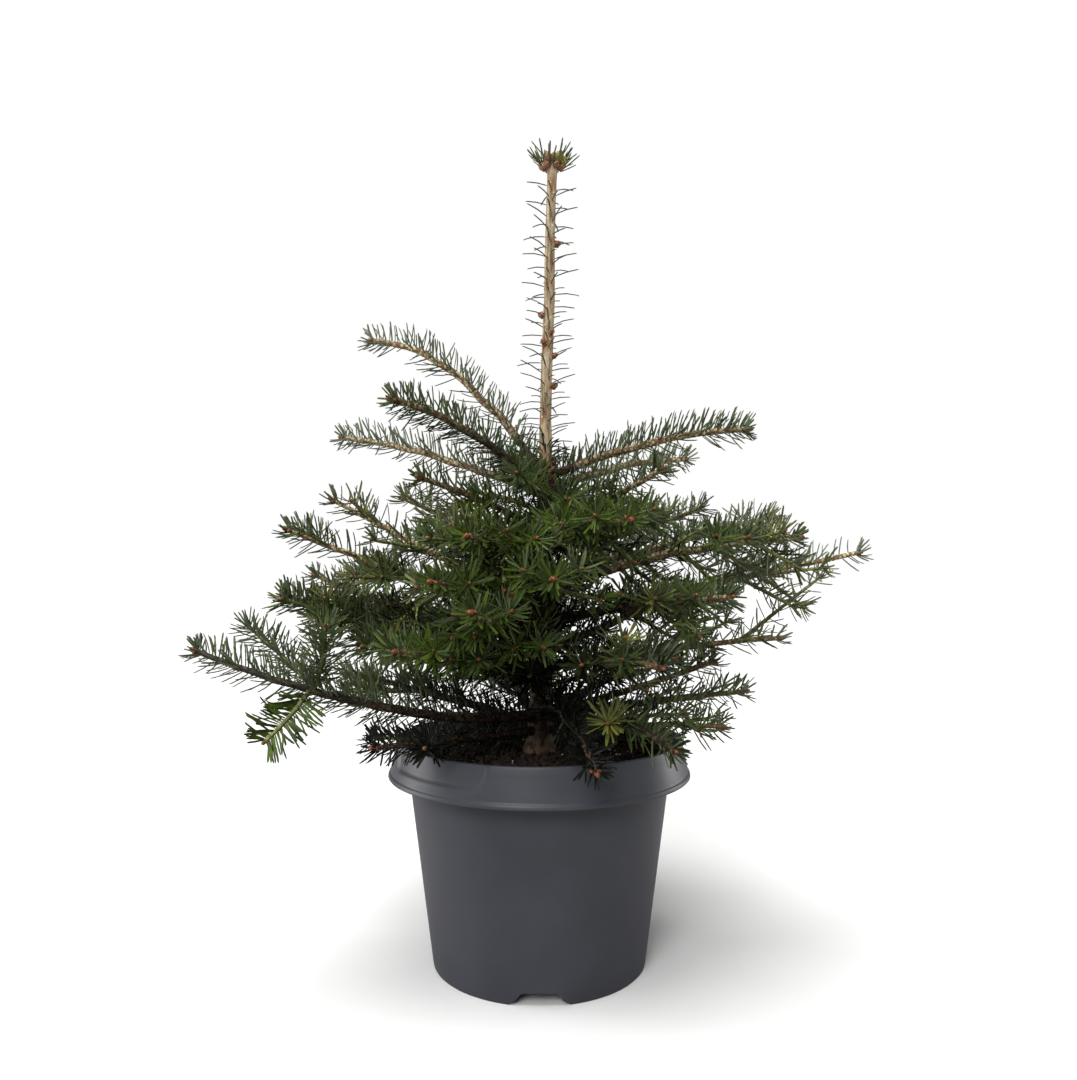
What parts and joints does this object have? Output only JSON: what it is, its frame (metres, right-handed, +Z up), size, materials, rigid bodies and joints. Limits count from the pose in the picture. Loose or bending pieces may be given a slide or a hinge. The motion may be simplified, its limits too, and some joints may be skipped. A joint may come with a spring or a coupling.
{
  "type": "korean fir in its pot",
  "caption": "Young korean fir with a bare straight leader over tiers of needle-covered branches, rooted in a round tapered nursery pot with a wide rim.",
  "frame": {"origin": "middle of the pot's flat underside", "axes": "+Z up along the trunk, -Y towards the side that the picture shows, +X to its right"},
  "size_m": [0.4251, 0.3143, 0.5351],
  "materials": {
    "pot": "moulded matte",
    "potting_mix": "loose and damp",
    "straw_bark": "smooth young bark",
    "brown_bark": "rough bark",
    "needles": "waxy needles"
  },
  "bodies": {
    "root": {"crown_back": "needles", "crown_back_bough": "brown_bark", "crown_left_back": "needles", "crown_left_back_bough": "brown_bark", "crown_left_front": "needles", "crown_left_front_bough": "brown_bark", "crown_left_high": "needles", "crown_left_high_bough": "brown_bark", "crown_right_back": "needles", "crown_right_back_bough": "brown_bark", "crown_right_front": "needles", "crown_right_front_bough": "brown_bark", "leader_tuft": "needles", "low_back": "needles", "low_back_left": "needles", "low_front": "needles", "low_front_left": "needles", "low_front_right": "needles", "low_left": "needles", "low_left_far": "needles", "low_right": "needles", "low_right_far": "needles", "middle_back_left": "needles", "middle_back_left_bough": "brown_bark", "middle_back_right": "needles", "middle_back_right_bough": "brown_bark", "middle_front": "needles", "middle_front_left": "needles", "middle_front_right": "needles", "middle_left": "needles", "middle_left_bough": "brown_bark", "middle_left_high": "needles", "middle_right": "needles", "middle_right_bough": "brown_bark", "middle_right_far": "needles", "middle_right_far_bough": "brown_bark", "middle_right_long": "needles", "middle_right_long_bough": "brown_bark", "pot": "pot", "potting_mix": "potting_mix", "skirt_back": "needles", "skirt_back_left": "needles", "skirt_back_right": "needles", "skirt_front": "needles", "skirt_front_left": "needles", "skirt_front_right": "needles", "skirt_left": "needles", "skirt_left_bough": "brown_bark", "skirt_right": "needles", "skirt_right_high": "needles", "skirt_right_low": "needles", "trunk": "straw_bark", "upper_back": "needles", "upper_front_left": "needles", "upper_front_right": "needles", "upper_left_far": "needles", "upper_left_near": "needles", "upper_right_far": "needles", "upper_right_near": "needles"}
  },
  "joints": []
}
